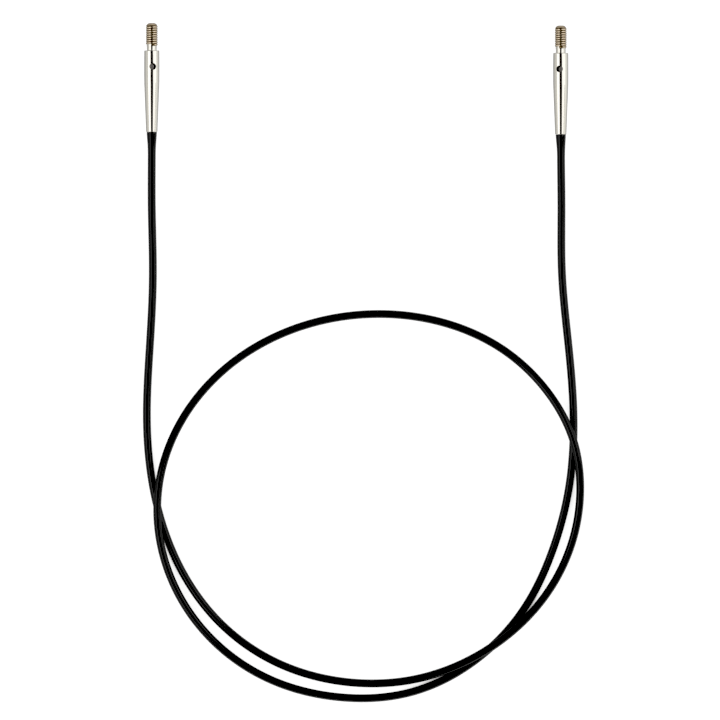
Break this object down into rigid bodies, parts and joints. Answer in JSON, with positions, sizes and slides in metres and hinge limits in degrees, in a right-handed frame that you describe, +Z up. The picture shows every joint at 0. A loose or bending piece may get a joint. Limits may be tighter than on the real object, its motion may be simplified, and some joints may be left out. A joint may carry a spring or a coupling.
{
  "type": "circular knitting needle cord",
  "caption": "Interchangeable cord for a circular knitting needle: a black nylon-covered cable in a flat loop with a threaded swivel connector on each end.",
  "frame": {"origin": "on the surface that the cord lies on, midway between the two connectors in X and in the middle of their length in Y", "axes": "+Z up from the surface; +Y along both connectors, from cable to stud tip; +X from the left connector to the right one"},
  "size_m": [0.0895, 0.1379, 0.0034],
  "materials": {
    "brass_thread": "cut thread, bare brass with dark valleys; plain neck nickel plated",
    "polished_nickel": "mirror-polished nickel plate",
    "stainless_steel": "drawn stainless steel",
    "black_nylon": "smooth extruded black nylon, semi-gloss"
  },
  "bodies": {
    "cable": {"cable_jacket": "black_nylon", "cable_core": "stainless_steel", "swivel_pin_left": "stainless_steel", "swivel_pin_right": "stainless_steel", "crimp_sleeve_left": "stainless_steel", "crimp_sleeve_right": "stainless_steel"},
    "left_connector": {"threaded_stud_left": "brass_thread", "ferrule_left": "polished_nickel"},
    "right_connector": {"threaded_stud_right": "brass_thread", "ferrule_right": "polished_nickel"}
  },
  "joints": [
    {"name": "left_swivel", "type": "hinge", "parent": "cable", "child": "left_connector", "pos_m": [-0.0415, 0.0066, 0.00153], "axis": [0, 1, 0], "continuous": true},
    {"name": "right_swivel", "type": "hinge", "parent": "cable", "child": "right_connector", "pos_m": [0.0415, 0.0061, 0.00153], "axis": [0, 1, 0], "continuous": true}
  ]
}
